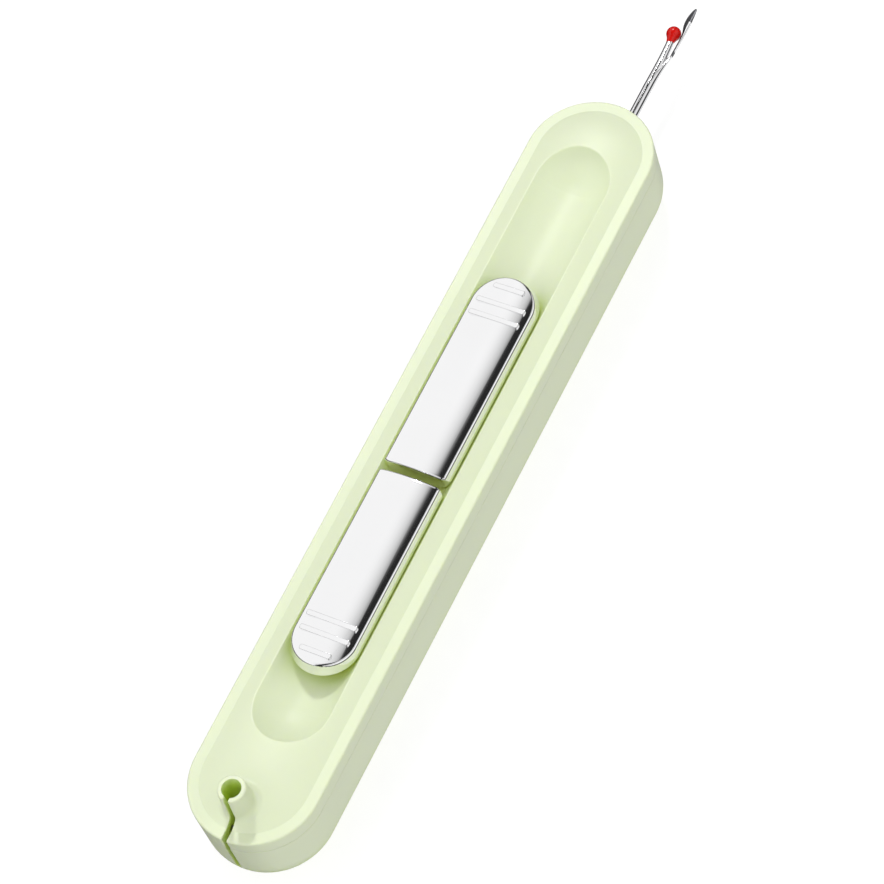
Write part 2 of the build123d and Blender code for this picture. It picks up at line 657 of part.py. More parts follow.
def slider_spring(low, high, side):
    """Return spring around a rod, between the given faces."""
    span = (low + SPRING_END_PLAY, high - SPRING_END_PLAY)
    return coil_tube(SPRING_OUTER, SPRING_WIRE, span, side * ROD_Y, ROD_Z)


def pull_spring():
    x = (PULL_SPRING_ANCHOR_X, PULL_SPRING_END_X)
    return coil_tube(PULL_SPRING_OUTER, SPRING_WIRE, x, PULL_SPRING_Y, RIPPER_Z)


# ---- Ripper ----

def carriage():
    body = block(CARRIAGE_X, (-CARRIAGE_HALF, CARRIAGE_HALF), CARRIAGE_Z)
    body = fillet(body.edges().filter_by(Axis.Z), 0.6)
    key = block(KEY_X, (-KEY_HALF, KEY_HALF), (CARRIAGE_Z[1] - 0.1, GUIDE_Z[1] - 0.1))
    lug = block(LUG_X, (CARRIAGE_HALF - 0.5, LUG_REACH), (RIPPER_Z - LUG_HALF, RIPPER_Z + LUG_HALF))
    body += key + lug
    body -= block(NOTCH_X, NOTCH_Y, (CARRIAGE_Z[0] - 1, CARRIAGE_Z[1] + 0.25))
    body -= lying(SHAFT_RADIUS, (SHAFT_BACK_X - 0.2, 70), 0, RIPPER_Z)
    body -= post(CLAMP_X, 0, CLAMP_RADIUS, RIPPER_Z, 12)
    return body


def blade_plan():
    """Plan of the fork's long pointed blade: its back, then its cutting side."""
    root = FORK_X - 1.5
    back = Spline((root, -0.6), (86.1, -1.17), (89.8, -1.45), (93.6, -1.54), (96.5, -1.43), TIP)
    edge = Spline(TIP, (96.7, -0.72), (95.2, -0.42), (93.7, -0.52), (92.0, -0.96), (87.0, -0.96))
    close = [
        Line((87.0, -0.96), (86.2, -0.3)),
        Line((86.2, -0.3), (root, 0.0)),
        Line((root, 0.0), (root, -0.6)),
    ]
    return make_face([back, edge] + close)


def prong():
    """Short round prong that tapers from the shaft to the ball."""
    end_x, end_y = BALL_CENTRE
    path = Spline((FORK_X, 0, RIPPER_Z), (*PRONG_BEND, RIPPER_Z), (end_x, end_y, RIPPER_Z))
    rings = []
    for along, radius in ((0, SHAFT_RADIUS - 0.05), (0.55, PRONG_RADIUS + 0.02), (1, PRONG_RADIUS)):
        rings.append(Plane(origin=path @ along, z_dir=path % along) * Circle(radius))
    return sweep(rings, path=path, multisection=True)


def ripper_blade():
    """Shaft, short prong for the ball, and pointed blade, in one piece."""
    shaft = lying(SHAFT_RADIUS - 0.01, (SHAFT_BACK_X, FORK_X + 0.6), 0, RIPPER_Z)
    shaft -= block((CLAMP_X - 1.2, CLAMP_X + 1.2), (-1, 1), (RIPPER_Z + SHAFT_FLAT, RIPPER_Z + 2))
    low = RIPPER_Z - BLADE_THICK / 2
    high = RIPPER_Z + BLADE_THICK / 2
    blade = Pos(0, 0, low) * extrude(blade_plan(), amount=BLADE_THICK)
    thin = EDGE_THICK / 2
    end = TIP[0] + 0.2
    wedge = Plane.XZ * make_face(Polyline(
        (80, low), (POINT_BEVEL_X, low), (end, RIPPER_Z - thin),
        (end, RIPPER_Z + thin), (POINT_BEVEL_X, high), (80, high), close=True))
    blade &= extrude(wedge, amount=5, both=True)
    return shaft + (prong() - ball_form(BALL_RADIUS, BALL_TAIL_X)) + blade


def ball_form(radius, tail_x):
    """Ball with a short drop-shaped tail that closes on the prong."""
    x, y = BALL_CENTRE
    ball = Pos(x, y, RIPPER_Z) * Sphere(radius)
    length = x - tail_x - BALL_TAIL_GAP
    tail = Cone(PRONG_RADIUS + 0.1, radius * 0.8, length)
    direction = Vector(x - PRONG_BEND[0], y - PRONG_BEND[1], 0).normalized()
    middle = Vector(x, y, RIPPER_Z) - direction * (BALL_TAIL_GAP + length / 2)
    return ball + Plane(origin=middle, z_dir=direction) * tail


def ripper_ball():
    ball = ball_form(BALL_RADIUS - 0.005, BALL_TAIL_X + 0.005)
    return ball - prong()


def clamp_screw():
    screw = post(CLAMP_X, 0, CLAMP_RADIUS - 0.02, RIPPER_Z + SHAFT_FLAT + 0.01, CARRIAGE_Z[1] - 0.1)
    slot_low = CARRIAGE_Z[1] - 0.5
    return screw - block((CLAMP_X - 2, CLAMP_X + 2), (-0.15, 0.15), (slot_low, 10))


def latch_leaf():
    """Flat spring whose nose holds the carriage out."""
    strip = block(LEAF_X, LEAF_Y, LEAF_Z)
    nose = extrude(make_face(Polyline(*LEAF_NOSE, close=True)), amount=LEAF_Z[1] - LEAF_Z[0])
    leaf = strip + Pos(0, 0, LEAF_Z[0]) * nose
    return leaf - cross_pin(RIVET_X, -5.5, RIVET_Z, RIVET_RADIUS + 0.02, 2)


def latch_rivet():
    """Rivet that fixes the leaf to its post."""
    pin = cross_pin(RIVET_X, -6.1, RIVET_Z, RIVET_RADIUS, 2.0)
    head = cross_pin(RIVET_X, -5.0, RIVET_Z, RIVET_HEAD, 0.6)
    return pin + head


# ---- Needle end ----

def guide_block():
    low, high = GUIDE_BLOCK_Z
    body = block(GUIDE_BLOCK_X, (-GUIDE_BLOCK_HALF, GUIDE_BLOCK_HALF), (low, high))
    body = fillet(body.edges().filter_by(Axis.Z), 0.5)
    body -= post(WELL_X, 0, GUIDE_BORE, GUIDE_BORE_BOTTOM_Z, high + 1)
    body -= Pos(WELL_X, 0, high - 0.5) * Cone(GUIDE_BORE, WELL_RADIUS, 1.0)
    body -= block((-70, WELL_X), (-SLIT_WIDTH / 2, SLIT_WIDTH / 2), (GUIDE_BLOCK_SLIT_Z, high + 1))
    half = HOOK_SLOT_HEIGHT / 2
    body -= block((-70, -60), (-HOOK_SLOT_HALF, HOOK_SLOT_HALF), (HOOK_Z - half, HOOK_Z + half))
    return body


def threader_hook():
    """Flat needle hook: long shank, fine tip with a thread barb."""
    low = HOOK_Z - HOOK_HEIGHT / 2
    high = HOOK_Z + HOOK_HEIGHT / 2
    wide, narrow = HOOK_NECK_X
    top = HOOK_Z + HOOK_TIP_HALF
    bottom = HOOK_Z - HOOK_TIP_HALF
    barb = [
        (HOOK_TIP_X + 0.5, top), (HOOK_TIP_X, HOOK_Z - 0.05), (HOOK_TIP_X + 0.35, bottom),
        (HOOK_TIP_X + 0.55, HOOK_Z - 0.02), (HOOK_TIP_X + 0.85, bottom),
    ]
    shank = Polyline((HOOK_BACK_X, low), (HOOK_BACK_X, high), (wide, high), (narrow, top),
                     *barb, (narrow, bottom), (wide, low), close=True)
    hook = extrude(Plane.XZ * make_face(shank), amount=HOOK_THICK / 2, both=True)
    return hook - cross_pin(PIN_X, 0, HOOK_Z, PIN_RADIUS + 0.02, 3)


def hook_pin():
    """Pin with a sleeve on each side of the hook."""
    pin = cross_pin(PIN_X, 0, HOOK_Z, PIN_RADIUS, 4.4)
    for side in (-1, 1):
        pin += cross_pin(PIN_X, side * 1.25, HOOK_Z, PIN_SLEEVE, 2.0)
    return pin


def main():
    os.makedirs("parts", exist_ok=True)
    write("upper_shell", upper_shell())
    write("lower_shell", lower_shell())
    write("shell_screws", shell_screws())
    write("exit_bush", exit_bush())
    write("guide_plate", guide_plate())
    write("guide_plate_screws", guide_screws())
    write("ripper_thumb_plate", thumb_plate(RIPPER_PLATE_X, 1))
    write("ripper_driver", ripper_driver())
    write("ripper_plate_screws", plate_screws(RIPPER_PLATE_X, 1))
    write("ripper_slider_rod", slider_rod(RIPPER_ROD_X, 1))
    write("ripper_slider_spring", slider_spring(RIPPER_EAR_X[1], RIPPER_ROD_X[1] - TAB, 1))
    write("threader_thumb_plate", thumb_plate(THREADER_PLATE_X, -1))
    write("threader_driver", threader_driver())
    write("threader_plate_screws", plate_screws(THREADER_PLATE_X, -1))
    write("threader_slider_rod", slider_rod(THREADER_ROD_X, -1))
    write("threader_slider_spring", slider_spring(THREADER_ROD_X[0] + TAB, THREADER_EAR_X[0], -1))
    write("threader_hook", threader_hook())
    write("hook_pin", hook_pin())
    write("needle_guide_block", guide_block())
    write("ripper_carriage", carriage())
    write("ripper_blade", ripper_blade())
    write("ripper_ball", ripper_ball())
    write("ripper_clamp_screw", clamp_screw())
    write("ripper_pull_spring", pull_spring())
    write("ripper_latch_leaf", latch_leaf())
    write("latch_rivet", latch_rivet())


main()
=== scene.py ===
import json
from math import cos, pi, radians, sin, sqrt

import bmesh
import bpy
from mathutils import Matrix, Vector


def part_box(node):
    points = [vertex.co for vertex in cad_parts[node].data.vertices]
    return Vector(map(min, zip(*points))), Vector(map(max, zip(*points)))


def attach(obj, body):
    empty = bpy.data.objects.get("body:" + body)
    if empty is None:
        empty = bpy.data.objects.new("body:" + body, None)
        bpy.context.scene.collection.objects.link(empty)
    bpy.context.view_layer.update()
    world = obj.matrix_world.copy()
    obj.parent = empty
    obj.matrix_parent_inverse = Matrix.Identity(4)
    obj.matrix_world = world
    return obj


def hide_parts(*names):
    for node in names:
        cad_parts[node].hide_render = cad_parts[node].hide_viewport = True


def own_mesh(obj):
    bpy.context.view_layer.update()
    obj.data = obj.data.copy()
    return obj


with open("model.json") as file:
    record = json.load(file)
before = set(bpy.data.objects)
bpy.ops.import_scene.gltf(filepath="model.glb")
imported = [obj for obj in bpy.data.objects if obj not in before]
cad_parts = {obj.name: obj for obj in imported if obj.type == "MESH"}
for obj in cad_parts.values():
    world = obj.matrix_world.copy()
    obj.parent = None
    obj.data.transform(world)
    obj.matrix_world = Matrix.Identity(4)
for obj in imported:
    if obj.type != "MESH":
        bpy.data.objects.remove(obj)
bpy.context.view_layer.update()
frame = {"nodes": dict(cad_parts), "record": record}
nodes = frame["nodes"]

MM = 0.001


# ---- Node helpers ----

def material(name):
    """A new node material and its two main nodes."""
    mat = bpy.data.materials.new(name)
    mat.use_nodes = True
    tree = mat.node_tree
    shader = tree.nodes["Principled BSDF"]
    return mat, tree, shader


def add(tree, kind, **values):
    """One node, with its settings, or its input values where the name is an input's."""
    node = tree.nodes.new(kind)
    for key, value in values.items():
        if key in node.inputs:
            node.inputs[key].default_value = value
        else:
            setattr(node, key, value)
    return node


def noise(tree, scale, detail=4.0, stretch=(1, 1, 1)):
    """Noise in object space, stretched along the object's axes."""
    place = add(tree, "ShaderNodeTexCoord")
    mapping = add(tree, "ShaderNodeMapping", Scale=stretch)
    texture = add(tree, "ShaderNodeTexNoise", Scale=scale, Detail=detail)
    tree.links.new(place.outputs["Object"], mapping.inputs["Vector"])
    tree.links.new(mapping.outputs["Vector"], texture.inputs["Vector"])
    return texture.outputs["Fac"]


def ramp(tree, source, stops):
    """Colour ramp over a value; stops are (place, colour)."""
    node = add(tree, "ShaderNodeValToRGB")
    points = node.color_ramp.elements
    while len(points) < len(stops):
        points.new(0.5)
    for point, (place, colour) in zip(points, stops):
        point.position = place
        point.color = (*colour, 1.0)
    tree.links.new(source, node.inputs["Fac"])
    return node.outputs["Color"]


def spread(tree, source, low, high):
    """A value from 0..1 mapped to low..high."""
    node = add(tree, "ShaderNodeMapRange")
    node.inputs["To Min"].default_value = low
    node.inputs["To Max"].default_value = high
    tree.links.new(source, node.inputs["Value"])
    return node.outputs["Result"]


def blend(tree, mode, first, second):
    """Two colours multiplied or added."""
    node = add(tree, "ShaderNodeMix", data_type="RGBA", blend_type=mode, Factor=1.0)
    tree.links.new(first, node.inputs[6])
    tree.links.new(second, node.inputs[7])
    return node.outputs[2]


def bump(tree, shader, source, height):
    """Fine relief from a value."""
    node = add(tree, "ShaderNodeBump", Strength=1.0, Distance=height)
    tree.links.new(source, node.inputs["Height"])
    tree.links.new(node.outputs["Normal"], shader.inputs["Normal"])


def tint(colour, share):
    """A colour made lighter or darker."""
    return tuple(c * share for c in colour)


# ---- Materials ----

def moulded_plastic(name, colour, roughness, grain=1600.0, relief=0.004):
    """Moulded plastic: faint colour drift, fine spark-eroded grain and a slightly uneven gloss."""
    mat, tree, shader = material(name)
    drift = noise(tree, 45.0, 3.0, (0.35, 1, 1))
    colours = [(0.3, tint(colour, 0.985)), (0.7, tint(colour, 1.01))]
    tree.links.new(ramp(tree, drift, colours), shader.inputs["Base Color"])
    fine = noise(tree, grain, 2.0)
    gloss = spread(tree, fine, roughness - 0.03, roughness + 0.03)
    tree.links.new(gloss, shader.inputs["Roughness"])
    bump(tree, shader, fine, relief * MM)
    return mat


def metal(name, colour, roughness, marks=500.0, stretch=(0.05, 1, 1), relief=0.001):
    """Metal with fine marks that run along the object."""
    mat, tree, shader = material(name)
    shader.inputs["Metallic"].default_value = 1.0
    drift = noise(tree, 60.0, 3.0)
    colours = [(0.25, tint(colour, 0.97)), (0.75, colour)]
    tree.links.new(ramp(tree, drift, colours), shader.inputs["Base Color"])
    fine = noise(tree, marks, 4.0, stretch)
    gloss = spread(tree, fine, roughness * 0.7, roughness * 1.4)
    tree.links.new(gloss, shader.inputs["Roughness"])
    bump(tree, shader, fine, relief * MM)
    return mat


def green_plastic():
    """Pastel ABS that lets some light through its skin, with painted shade: a deeper, darker green painted
    into recesses and close to the floor by ambient occlusion.
    """
    mat = moulded_plastic("green_shell", (0.75, 0.82, 0.58), 0.48)
    tree = mat.node_tree
    shader = tree.nodes["Principled BSDF"]
    skin_colour = shader.inputs["Base Color"].links[0].from_socket
    # Painted shade: where ambient occlusion finds surfaces close by, including the floor, the base colour is
    # multiplied darker and more saturated green.
    painted_shade_ao = add(tree, "ShaderNodeAmbientOcclusion", Distance=15 * MM)
    painted_shade_stops = [(0.0, (0.90, 1.0, 0.12)), (0.40, (0.84, 0.92, 0.55)), (0.72, (1, 1, 1))]
    painted_shade_tint = ramp(tree, painted_shade_ao.outputs["AO"], painted_shade_stops)
    tree.links.new(blend(tree, "MULTIPLY", skin_colour, painted_shade_tint), shader.inputs["Base Color"])
    shader.inputs["Specular IOR Level"].default_value = 0.8
    shader.inputs["Subsurface Weight"].default_value = 0.35
    shader.inputs["Subsurface Radius"].default_value = (1.0, 1.1, 0.45)
    shader.inputs["Subsurface Scale"].default_value = 1.2 * MM
    return mat


def red_enamel():
    """Dipped red enamel: deep colour, faint unevenness and a wet gloss."""
    mat = moulded_plastic("red_ball", (0.62, 0.006, 0.003), 0.16, 700.0, 0.003)
    shader = mat.node_tree.nodes["Principled BSDF"]
    shader.inputs["Specular IOR Level"].default_value = 0.3
    return mat


def make_materials():
    """One material for each slot of the record, and near-black steel for the blade's ground faces, a painted
    dark reflection.
    """
    return {
        "green_shell": green_plastic(),
        "chrome": metal("chrome", (0.95, 0.95, 0.955), 0.05, 900.0),
        "inner_frame": moulded_plastic("inner_frame", (0.78, 0.79, 0.75), 0.45),
        "inner_plastic": moulded_plastic("inner_plastic", (0.86, 0.86, 0.82), 0.45),
        "screw_steel": metal("screw_steel", (0.60, 0.61, 0.62), 0.28, 1500.0, (1, 1, 1), 0.003),
        "rod_steel": metal("rod_steel", (0.68, 0.68, 0.69), 0.22, 900.0),
        "spring_steel": metal("spring_steel", (0.50, 0.50, 0.51), 0.30, 1200.0),
        "blade_steel": metal("blade_steel", (0.82, 0.82, 0.83), 0.06, 900.0),
        # Near-black steel: a painted dark reflection for the ground faces; only the rougher gloss is their
        # real finish.
        "ground_steel_painted_reflection": metal("ground_steel_painted_reflection", (0.07, 0.07, 0.075), 0.30, 2500.0, (1, 0.1, 1), 0.002),
        "red_ball": red_enamel(),
    }


# ---- Mesh helpers (millimetres in, metres out) ----

def skin(name, rings):
    """Closed mesh over rings of points, each ring with the same count."""
    count = len(rings[0])
    last = count * (len(rings) - 1)
    points = [Vector(p) * MM for ring in rings for p in ring]
    faces = [tuple(range(count)), tuple(range(last, last + count))]
    for start in range(0, last, count):
        for i in range(count):
            a, b = start + i, start + (i + 1) % count
            faces.append((a, b, b + count, a + count))
    mesh = bpy.data.meshes.new(name)
    mesh.from_pydata(points, [], faces)
    shape = bmesh.new()
    shape.from_mesh(mesh)
    bmesh.ops.recalc_face_normals(shape, faces=shape.faces)
    shape.to_mesh(mesh)
    shape.free()
    mesh.shade_smooth()
    return mesh


def place(name, mesh):
    """Object for a mesh, in the scene."""
    piece = bpy.data.objects.new(name, mesh)
    bpy.context.scene.collection.objects.link(piece)
    return piece


def circle(centre, across, up, radius, count):
    """Ring of points about a centre."""
    angles = [2 * pi * i / count for i in range(count)]
    return [centre + across * (radius * cos(a)) + up * (radius * sin(a)) for a in angles]


def joined(piece, other):
    """Adds another closed piece to this one as one solid."""
    tool = piece.modifiers.new("join", "BOOLEAN")
    tool.operation = "UNION"
    tool.solver = "EXACT"
    tool.object = other
    whole = bpy.data.meshes.new_from_object(piece.evaluated_get(bpy.context.evaluated_depsgraph_get()))
    piece.modifiers.clear()
    piece.data = whole
    bpy.data.objects.remove(other)
    return piece


def eased(points, x):
    """Smooth value at x through a few (x, value) points."""
    if x <= points[0][0]:
        return points[0][1]
    for i in range(len(points) - 1):
        (x0, v0), (x1, v1) = points[i], points[i + 1]
        if x <= x1:
            before = points[i - 1] if i else points[0]
            after = points[i + 2] if i + 2 < len(points) else points[-1]
            m0 = (v1 - before[1]) / (x1 - before[0]) * (x1 - x0)
            m1 = (after[1] - v0) / (after[0] - x0) * (x1 - x0)
            t = (x - x0) / (x1 - x0)
            rise = t * t * (3 - 2 * t)
            bend = t * (1 - t) * ((1 - t) * m0 - t * m1)
            return v0 + (v1 - v0) * rise + bend
    return points[-1][1]


def steps(low, high, count):
    """Evenly spaced values, both ends included."""
    return [low + (high - low) * i / count for i in range(count + 1)]


# ---- Ripper ----

RIPPER_Z = 7.2             # height of the shaft's centre line
SHAFT_RADIUS = 0.81
SHAFT_BACK_X = 47.0
STEP = 0.01                # length of a step between two sections
SHAFT_MIDDLE_X = 68.0
CLAMP_X = 53.0             # middle of the flat for the clamp screw
CLAMP_FLAT_HALF = 1.2
CLAMP_FLAT_Z = 0.55
FORK_X = 80.5              # where the shaft starts to flatten
BLADE_FULL_X = 87.2        # where it is all blade
BLADE_TIP_X = 97.6
HALF_THICK = 0.34
TIP_HALF = 0.06
EDGE_HALF = 0.03
# From GROUND_X on, the blade takes the near-black steel, a painted dark reflection.
GROUND_X = 94.6            # the blade is ground all over from here to its tip
# Outlines of the blade as (x, y): its back, its edge and the line where the bevel meets the flat.
BLADE_BACK = (
    (81.0, -0.81), (85.0, -1.07), (89.8, -1.45), (93.6, -1.54), (96.5, -1.43), (97.3, -1.34), (97.6, -1.26),
)
BLADE_EDGE = (
    (82.6, -0.05), (85.8, -0.2), (86.6, -0.45), (87.1, -0.90), (87.6, -0.96), (92.0, -0.96), (93.7, -0.52),
    (95.2, -0.42), (96.7, -0.66), (97.3, -0.86), (97.6, -1.02),
)
BEVEL_LINE = (
    (82.6, -0.3), (86.6, -0.98), (87.4, -1.28), (90.0, -1.36), (91.9, -1.34), (93.8, -1.20), (97.6, -1.15),
)
BALL = Vector((91.7, 0.40, RIPPER_Z))
PRONG_BEND = Vector((87.5, 0.09, RIPPER_Z))
BALL_RADIUS = 1.285
BALL_TAIL = 2.0            # length of the drop-shaped tail, from the ball's centre
TAIL_RADIUS = 0.64
TAIL_GROWTH = 0.42
TAIL_JOINS = 0.68          # where the tail meets the round of the ball
PRONG_START_X = 80.5
PRONG_LEAVES_X = 83.0      # where the prong starts to bend away
PRONG_RADII = ((81.0, 0.79), (85.0, 0.72), (91.7, 0.6))


def blade_ring(x):
    """Section of the blade: thin edge, bevels, flats and a round back."""
    back, edge, line = (eased(points, x) for points in (BLADE_BACK, BLADE_EDGE, BEVEL_LINE))
    tip = max(0.0, (x - GROUND_X) / (BLADE_TIP_X - GROUND_X))
    half = HALF_THICK + (TIP_HALF - HALF_THICK) * tip
    line = min(line, edge - 0.02)
    nose = min(half * 0.25, (line - back) * 0.6)
    upper = [(edge, EDGE_HALF)]
    upper += [(edge + (line - edge) * t / 5, EDGE_HALF + (half - EDGE_HALF) * t / 5) for t in range(1, 6)]
    upper += [(line + (back + nose - line) * t / 3, half) for t in range(1, 4)]
    upper += [(back + nose - nose * sin(pi * t / 14), half * cos(pi * t / 14)) for t in range(1, 7)]
    lower = [(y, -z) for y, z in reversed(upper)]
    return upper + [(back, 0.0)] + lower


def shaft_ring(count, flat):
    """Round section in step with the blade's; flat clips its top."""
    half = (count - 1) // 2
    angles = [radians(6 + 174 * i / half) for i in range(half)]
    upper = [(SHAFT_RADIUS * cos(a), min(SHAFT_RADIUS * sin(a), flat)) for a in angles]
    lower = [(SHAFT_RADIUS * cos(a), -SHAFT_RADIUS * sin(a)) for a in reversed(angles)]
    return upper + [(-SHAFT_RADIUS, 0.0)] + lower


def blade_and_shaft():
    """Round shaft that flattens into the bevelled, pointed blade."""
    count = len(blade_ring(BLADE_TIP_X))
    rings = []
    flat_start, flat_end = CLAMP_X - CLAMP_FLAT_HALF, CLAMP_X + CLAMP_FLAT_HALF
    shaft = (
        (SHAFT_BACK_X, SHAFT_RADIUS), (flat_start, SHAFT_RADIUS), (flat_start + STEP, CLAMP_FLAT_Z),
        (flat_end - STEP, CLAMP_FLAT_Z), (flat_end, SHAFT_RADIUS), (SHAFT_MIDDLE_X, SHAFT_RADIUS),
    )
    for x, flat in shaft:
        rings.append([(x, y, RIPPER_Z + z) for y, z in shaft_ring(count, flat)])
    for x in steps(FORK_X, BLADE_TIP_X - 0.02, 70):
        t = min(1.0, (x - FORK_X) / (BLADE_FULL_X - FORK_X))
        share = t * t * (3 - 2 * t)
        ring = []
        for (y0, z0), (y1, z1) in zip(shaft_ring(count, SHAFT_RADIUS), blade_ring(x)):
            ring.append((x, y0 + (y1 - y0) * share, RIPPER_Z + z0 + (z1 - z0) * share))
        rings.append(ring)
    return skin("blade_and_shaft", rings)


def prong_centre(x):
    """Centre line of the prong, which curves away from the shaft."""
    share = max(0.0, (x - PRONG_LEAVES_X) / (BALL.x - PRONG_LEAVES_X))
    return Vector((x, BALL.y * share ** 2.2, RIPPER_Z))


def prong():
    """Round prong that leaves the shaft and ends in the ball."""
    rings = []
    for x in steps(PRONG_START_X, BALL.x, 36):
        centre = prong_centre(x)
        along = (prong_centre(x + STEP) - prong_centre(x - STEP)).normalized()
        across = Vector((0, 0, 1)).cross(along)
        rings.append(circle(centre, across, Vector((0, 0, 1)), eased(PRONG_RADII, x), 32))
    return skin("prong", rings)


def ripper_blade(materials):
    """Fork of the ripper, polished all over but for the ground faces, which get near-black steel: a painted
    dark reflection on their rougher ground finish.
    """
    piece = joined(place("ripper_fork", blade_and_shaft()), place("prong", prong()))
    mesh = piece.data
    mesh.materials.clear()
    mesh.materials.append(materials["blade_steel"])
    mesh.materials.append(materials["ground_steel_painted_reflection"])
    # Painted dark reflection: the ground bevel and tip faces take the near-black steel.
    for face in mesh.polygons:
        x, y = face.center.x / MM, face.center.y / MM
        on_bevel = x > BLADE_FULL_X and y < eased(BLADE_EDGE, x) + 0.02 and y > eased(BEVEL_LINE, x)
        if x > GROUND_X or (on_bevel and abs(face.normal.z) < 0.97):
            face.material_index = 1
    mesh.set_sharp_from_angle(angle=radians(24))
    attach(piece, "ripper")
    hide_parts("ripper_blade")


def ripper_ball(materials):
    """Red safety ball with a drop-shaped tail along the prong."""
    along = (BALL - PRONG_BEND).normalized()
    across = Vector((0, 0, 1)).cross(along)
    rings = []
    for s in [-BALL_TAIL] + steps(-BALL_TAIL + 0.02, -0.75, 9) + steps(-TAIL_JOINS, 0.0, 8):
        tail = TAIL_RADIUS + TAIL_GROWTH * ((s + BALL_TAIL) / (BALL_TAIL - TAIL_JOINS)) ** 1.6
        sphere = sqrt(max(0.0, BALL_RADIUS ** 2 - s * s))
        radius = max(tail, sphere) if s < -TAIL_JOINS else sphere
        if s == -BALL_TAIL:
            radius = TAIL_RADIUS - 0.04
        rings.append(circle(BALL + along * s, across, Vector((0, 0, 1)), radius, 40))
    for angle in steps(0, pi / 2 - 0.04, 14)[1:]:
        centre = BALL + along * (BALL_RADIUS * sin(angle))
        rings.append(circle(centre, across, Vector((0, 0, 1)), BALL_RADIUS * cos(angle), 40))
    piece = place("safety_ball", skin("safety_ball", rings))
    piece.data.materials.append(materials["red_ball"])
    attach(piece, "ripper")
    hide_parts("ripper_ball")


# ---- Coil springs ----

SPRING_WIRE = 0.3


def coil(name, node, radius, pitch, steel):
    """Wound spring in the place of a plain tube, at one even pitch."""
    low, high = (Vector(corner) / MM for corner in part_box(node))
    middle = (low + high) / 2
    start, length = low.x + SPRING_WIRE / 2, high.x - low.x - SPRING_WIRE
    turns = round(length / pitch)
    sides, around = 8, 14
    rings = []
    for i in range(turns * around + 1):
        angle = 2 * pi * i / around
        out = Vector((0, cos(angle), sin(angle)))
        on_axis = Vector((start + length * i / (turns * around), middle.y, middle.z))
        centre = on_axis + out * (radius - SPRING_WIRE / 2)
        rings.append(circle(centre, Vector((1, 0, 0)), out, SPRING_WIRE / 2, sides))
    piece = place(name, skin(name, rings))
    piece.data.materials.append(steel)
    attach(piece, "root")
    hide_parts(node)
    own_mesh(piece)


def make_springs(materials):
    """The three springs: node, outer radius, pitch, joint, fixed end's x and travel."""
    rows = (
        ("ripper_slider_coil", "ripper_slider_spring", 1.15, 1.0, "ripper_slider_push", 54.9, 25.0),
        ("threader_slider_coil", "threader_slider_spring", 1.15, 0.9, "threader_slider_push", -33.3, 9.0),
        ("ripper_pull_coil", "ripper_pull_spring", 1.3, 0.6, "ripper_extend", -28.0, 25.0),
    )
    for name, node, radius, pitch, joint, fixed_end, travel in rows:
        coil(name, node, radius, pitch, materials["spring_steel"])


# ---- Camera, light and floor ----

CAMERA_ANGLES = (-43.8198, 58.5072, -22.6437)    # azimuth, elevation, roll
CAMERA_PLACE = (-0.21530, -0.22865, 0.53064)
CAMERA_LENS = 154.595


def camera():
    """Camera at the photograph's viewing angle, rolled as it is there."""
    az, el, roll = (radians(angle) for angle in CAMERA_ANGLES)
    back = Vector((sin(az) * cos(el), -cos(az) * cos(el), sin(el)))
    level = Vector((0, 0, 1)).cross(back).normalized()
    above = back.cross(level)
    right = level * cos(roll) + above * sin(roll)
    up = above * cos(roll) - level * sin(roll)
    data = bpy.data.cameras.new("camera")
    data.sensor_width = 36.0
    data.lens = CAMERA_LENS
    data.clip_start = 0.01
    eye = bpy.data.objects.new("camera", data)
    bpy.context.scene.collection.objects.link(eye)
    turn = Matrix((right, up, back)).transposed().to_4x4()
    eye.matrix_world = Matrix.Translation(CAMERA_PLACE) @ turn
    bpy.context.scene.camera = eye


def grey_ramp(tree, source, stops):
    """Grey ramp over a direction's part, which runs from -1 to 1."""
    span = add(tree, "ShaderNodeMapRange")
    span.inputs["From Min"].default_value = -1.0
    tree.links.new(source, span.inputs["Value"])
    return ramp(tree, span.outputs["Result"], [((at + 1) / 2, (v, v, v)) for at, v in stops])


def lamp(name, energy, angle, towards, glossy):
    """Distant soft light from a direction."""
    sun = bpy.data.lights.new(name, "SUN")
    sun.energy = energy
    sun.angle = radians(angle)
    stand = bpy.data.objects.new(name, sun)
    stand.visible_glossy = glossy
    bpy.context.scene.collection.objects.link(stand)
    stand.rotation_euler = Vector(towards).to_track_quat("Z", "Y").to_euler()


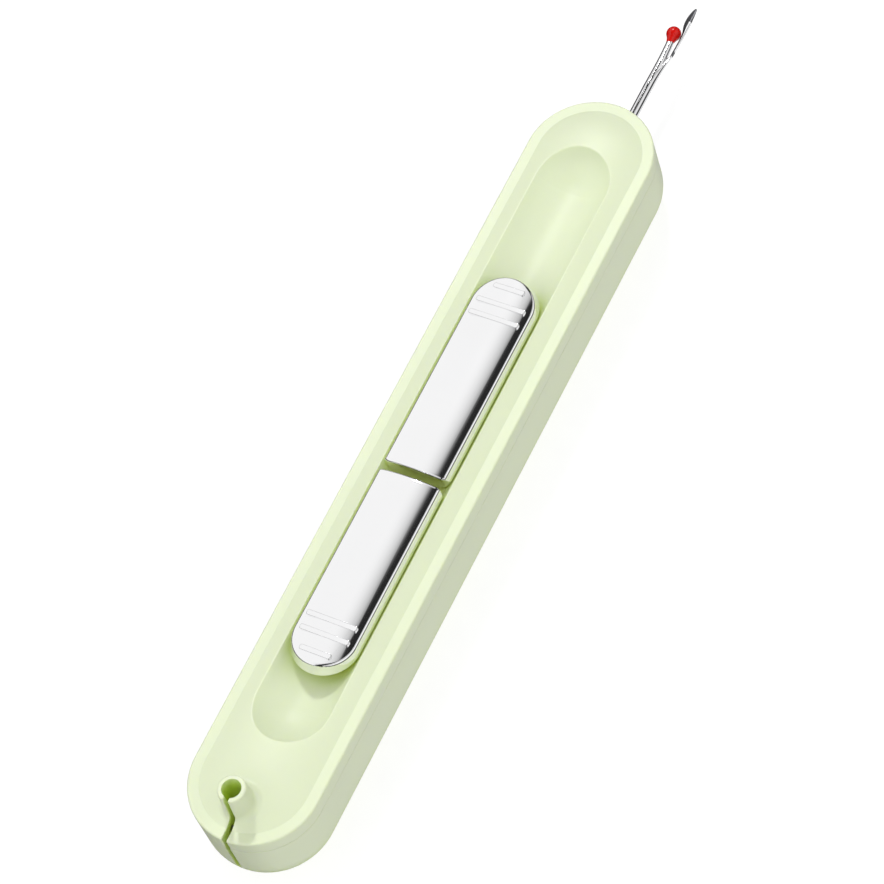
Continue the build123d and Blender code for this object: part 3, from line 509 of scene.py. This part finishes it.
def studio():
    """Soft boxes with a dark gap between them, a dark horizon, a bright table, a key light and two fills."""
    world = bpy.data.worlds.new("studio")
    bpy.context.scene.world = world
    world.use_nodes = True
    tree = world.node_tree
    shader = tree.nodes["Background"]
    place = add(tree, "ShaderNodeTexCoord")
    axes = add(tree, "ShaderNodeSeparateXYZ")
    tree.links.new(place.outputs["Generated"], axes.inputs["Vector"])
    across = [
        (-1.00, 0.50), (-0.82, 0.95), (-0.58, 0.95), (-0.34, 0.55), (-0.22, 0.70), (-0.18, 0.02),
        (0.068, 0.02), (0.085, 0.12), (0.094, 0.26), (0.107, 0.45), (0.131, 0.63), (0.166, 0.76),
        (0.20, 0.85), (0.25, 0.93), (0.30, 0.96), (1.00, 0.98),
    ]
    overhead = [(-1, 0), (0.16, 0), (0.30, 1), (1, 1)]
    below = [(-1, 1), (-0.50, 0.95), (-0.42, 0.05), (0.1, 0.05), (1, 0)]
    near_side = [(-1, 1), (-0.1, 1), (0.1, 0.1), (1, 0.1)]
    boxes = grey_ramp(tree, axes.outputs["Y"], across)
    above = grey_ramp(tree, axes.outputs["Z"], overhead)
    table = grey_ramp(tree, axes.outputs["Z"], below)
    near = grey_ramp(tree, axes.outputs["Y"], near_side)
    boxes = blend(tree, "MULTIPLY", boxes, above)
    table = blend(tree, "MULTIPLY", table, near)
    light = blend(tree, "ADD", boxes, table)
    tree.links.new(light, shader.inputs["Color"])
    shader.inputs["Strength"].default_value = 1.0
    lamp("key", 1.0, 6.0, (0.53, 0.28, 0.80), True)
    lamp("side_fill", 0.9, 60.0, (0.1, -1.0, 0.10), False)
    lamp("end_fill", 0.95, 60.0, (-0.9, 0.0, 0.45), False)


def floor():
    """Plain pale sheet under the object, clear when seen from below."""
    mesh = bpy.data.meshes.new("floor")
    half, z = 3.0, -0.02 * MM
    corners = [(-half, -half, z), (half, -half, z), (half, half, z), (-half, half, z)]
    mesh.from_pydata(corners, [], [(0, 1, 2, 3)])
    ground = bpy.data.objects.new("floor", mesh)
    bpy.context.scene.collection.objects.link(ground)
    ground.visible_glossy = False
    ground.visible_diffuse = False
    mat, tree, shader = material("floor_paper")
    paper = noise(tree, 300.0, 3.0)
    colours = [(0.3, (0.19, 0.19, 0.19)), (0.7, (0.21, 0.21, 0.21))]
    tree.links.new(ramp(tree, paper, colours), shader.inputs["Base Color"])
    shader.inputs["Roughness"].default_value = 0.9
    shader.inputs["Specular IOR Level"].default_value = 0.0
    shader.inputs["Emission Color"].default_value = (1, 1, 1, 1)
    shader.inputs["Emission Strength"].default_value = 0.86
    side = add(tree, "ShaderNodeNewGeometry")
    clear = add(tree, "ShaderNodeBsdfTransparent")
    sheet = add(tree, "ShaderNodeMixShader")
    tree.links.new(side.outputs["Backfacing"], sheet.inputs[0])
    tree.links.new(shader.outputs["BSDF"], sheet.inputs[1])
    tree.links.new(clear.outputs["BSDF"], sheet.inputs[2])
    tree.links.new(sheet.outputs["Shader"], tree.nodes["Material Output"].inputs["Surface"])
    mesh.materials.append(mat)


def flag():
    """Black card over the ripper, seen only in reflections."""
    low, high = (Vector(corner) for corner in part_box("ripper_blade"))
    x0, x1 = low.x + 20 * MM, high.x + 6 * MM
    y0, y1, z = -3.2 * MM, 19 * MM, high.z + 30 * MM
    corners = [(x0, y0, z), (x1, y0, z), (x1, y1, z), (x0, y1, z)]
    mesh = bpy.data.meshes.new("flag")
    mesh.from_pydata(corners, [], [(0, 1, 2, 3)])
    card = bpy.data.objects.new("flag", mesh)
    bpy.context.scene.collection.objects.link(card)
    card.visible_camera = False
    card.visible_shadow = False
    card.visible_diffuse = False
    card.visible_transmission = False
    mat, tree, shader = material("flag_velvet")
    weave = noise(tree, 900.0, 2.0)
    tree.links.new(ramp(tree, weave, [(0.3, (0.01, 0.01, 0.01)), (0.7, (0.02, 0.02, 0.02))]),
                   shader.inputs["Base Color"])
    shader.inputs["Roughness"].default_value = 0.95
    shader.inputs["Specular IOR Level"].default_value = 0.0
    mesh.materials.append(mat)


def paint_nodes(materials):
    """Gives each CAD node the material of its slot."""
    for part in frame["record"]["subparts"]:
        mesh = nodes[part["node"]].data
        mesh.materials.clear()
        mesh.materials.append(materials[part["material_slot"]])


camera()
studio()
floor()
flag()
materials = make_materials()
paint_nodes(materials)
ripper_blade(materials)
ripper_ball(materials)
make_springs(materials)
bpy.context.scene.view_settings.view_transform = "Standard"
